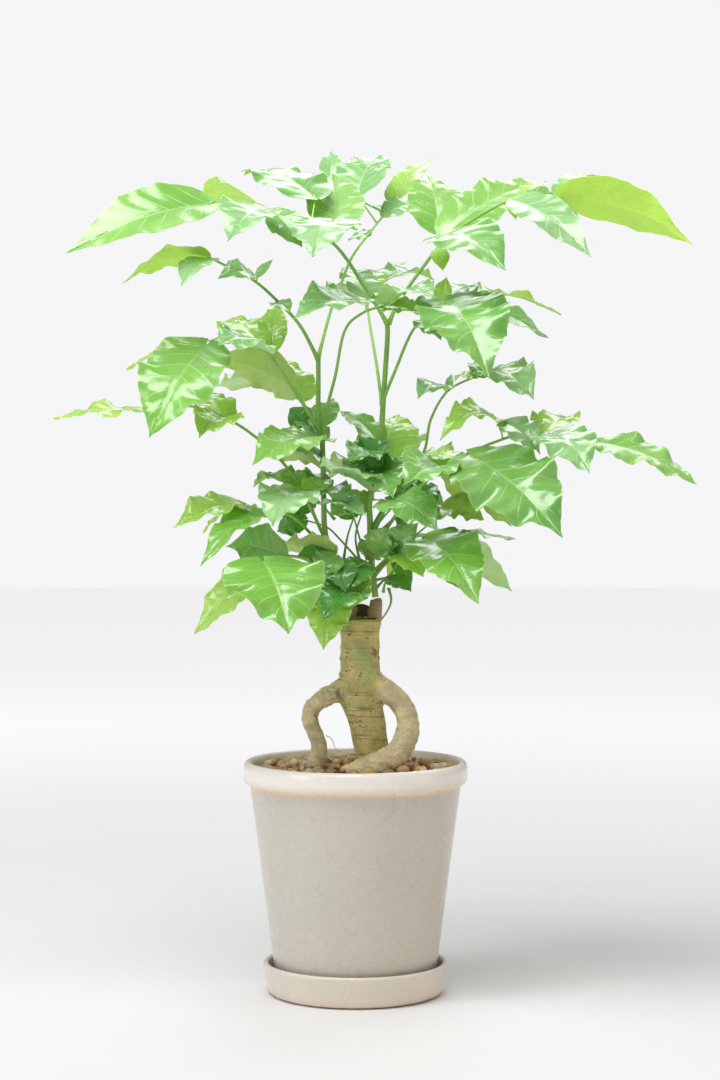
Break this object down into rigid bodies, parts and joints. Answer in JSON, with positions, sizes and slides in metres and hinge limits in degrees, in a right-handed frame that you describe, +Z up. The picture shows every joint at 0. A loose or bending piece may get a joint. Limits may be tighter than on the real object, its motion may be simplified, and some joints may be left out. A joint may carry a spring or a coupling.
{
  "type": "potted heteropanax",
  "caption": "House plant in a tapered glazed pot on a saucer: a bare trunk on stilt roots, gravel top dressing, and a wide airy crown of glossy pointed leaflets on thin green stalks.",
  "frame": {"origin": "centre of the saucer's underside", "axes": "+Z up along the pot's axis; the front, with the lowest large leaflets, is towards -Y"},
  "size_m": [0.469, 0.314, 0.649],
  "materials": {
    "crackle_glaze": "gloss",
    "saucer_glaze": "satin",
    "potting_mix": "matte",
    "akadama_gravel": "matte",
    "bark": "matte",
    "green_stem": "satin",
    "leaf_blade": "gloss"
  },
  "bodies": {
    "root": {"saucer": "saucer_glaze", "pot": "crackle_glaze", "potting_soil": "potting_mix", "gravel_topdressing": "akadama_gravel", "trunk": "bark", "main_stem": "green_stem", "left_stem": "green_stem", "stalk_back": "green_stem", "stalk_back_low": "green_stem", "stalk_base_right": "green_stem", "stalk_centre": "green_stem", "stalk_far_right": "green_stem", "stalk_front_left": "green_stem", "stalk_low_left": "green_stem", "stalk_low_right": "green_stem", "stalk_lower_left": "green_stem", "stalk_mid_left": "green_stem", "stalk_right": "green_stem", "stalk_top_back": "green_stem", "stalk_top_left": "green_stem", "stalk_top_right": "green_stem", "stalk_upper_left": "green_stem", "stalk_upper_right": "green_stem", "leaflet_back_low_a": "leaf_blade", "leaflet_base_right_a": "leaf_blade", "leaflet_centre_a": "leaf_blade", "leaflet_centre_e": "leaf_blade", "leaflet_far_right_a": "leaf_blade", "leaflet_far_right_c": "leaf_blade", "leaflet_far_right_d": "leaf_blade", "leaflet_front_left_a": "leaf_blade", "leaflet_front_left_d": "leaf_blade", "leaflet_left_stem_a": "leaf_blade", "leaflet_left_stem_i": "leaf_blade", "leaflet_low_left_a": "leaf_blade", "leaflet_low_left_f": "leaf_blade", "leaflet_low_right_a": "leaf_blade", "leaflet_low_right_b": "leaf_blade", "leaflet_lower_left_b": "leaf_blade", "leaflet_main_stem_a": "leaf_blade", "leaflet_main_stem_e": "leaf_blade", "leaflet_mid_left_a": "leaf_blade", "leaflet_mid_left_b": "leaf_blade", "leaflet_mid_left_c": "leaf_blade", "leaflet_mid_left_d": "leaf_blade", "leaflet_mid_left_e": "leaf_blade", "leaflet_right_c": "leaf_blade", "leaflet_top_back_a": "leaf_blade", "leaflet_top_back_b": "leaf_blade", "leaflet_top_left_a": "leaf_blade", "leaflet_top_left_c": "leaf_blade", "leaflet_top_left_d": "leaf_blade", "leaflet_top_left_e": "leaf_blade", "leaflet_top_left_f": "leaf_blade", "leaflet_top_right_b": "leaf_blade", "leaflet_top_right_c": "leaf_blade", "leaflet_top_right_d": "leaf_blade", "leaflet_top_right_e": "leaf_blade", "leaflet_upper_left_a": "leaf_blade", "leaflet_upper_right_a": "leaf_blade"}
  },
  "joints": []
}
